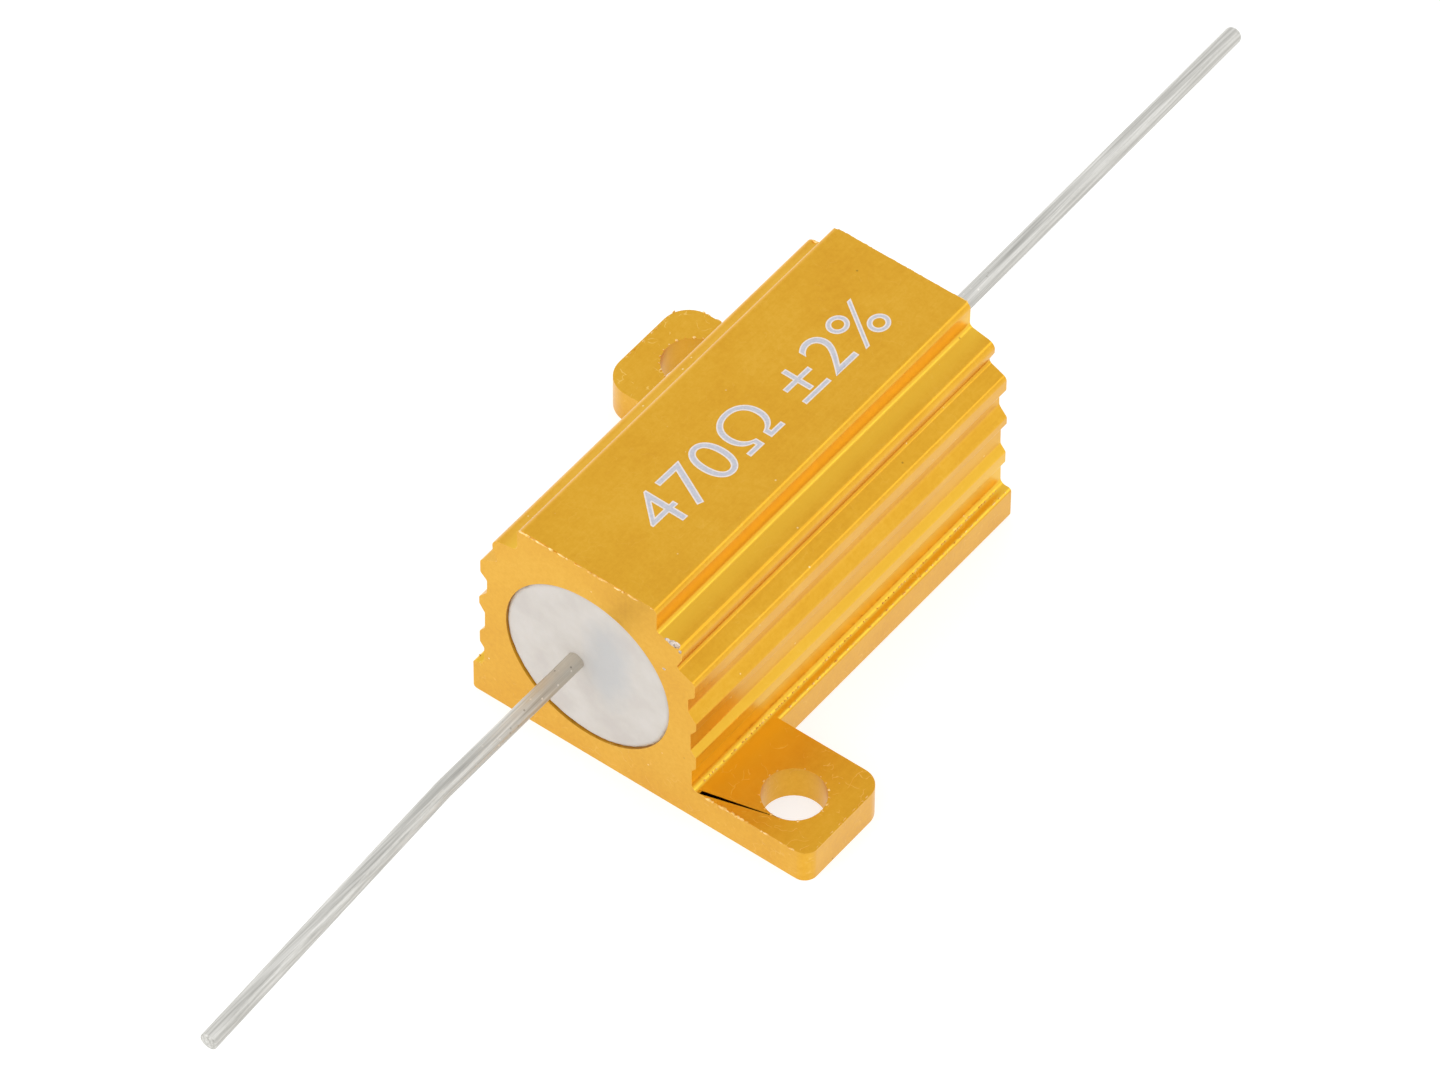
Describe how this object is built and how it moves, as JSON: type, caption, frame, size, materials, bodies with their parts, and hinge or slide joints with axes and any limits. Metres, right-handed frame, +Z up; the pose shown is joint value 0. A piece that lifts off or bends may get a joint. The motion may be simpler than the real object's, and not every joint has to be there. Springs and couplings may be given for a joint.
{
  "type": "aluminium housed power resistor",
  "caption": "Wirewound power resistor potted in a ribbed extruded aluminium housing, with diagonal screw tabs and straight wire leads.",
  "frame": {"origin": "middle of the mounting face, on the plane that rests on the chassis", "axes": "+Y along the leads towards the rear end, +Z up out of the mounting face, +X towards the tab at the front end"},
  "size_m": [0.0164, 0.0506, 0.0084],
  "materials": {
    "anodised_aluminium": "gold anodised, satin",
    "potting_compound": "matt grey-white filled silicone compound",
    "core_ceramic": "unglazed white ceramic",
    "resistance_alloy": "dull drawn wire",
    "cap_steel": "pressed, plated",
    "tinned_wire": "tinned, drawn"
  },
  "bodies": {
    "root": {"housing": "anodised_aluminium", "potting": "potting_compound", "ceramic_core": "core_ceramic", "resistance_winding": "resistance_alloy", "front_cap": "cap_steel", "rear_cap": "cap_steel", "front_lead": "tinned_wire", "rear_lead": "tinned_wire"}
  },
  "joints": []
}
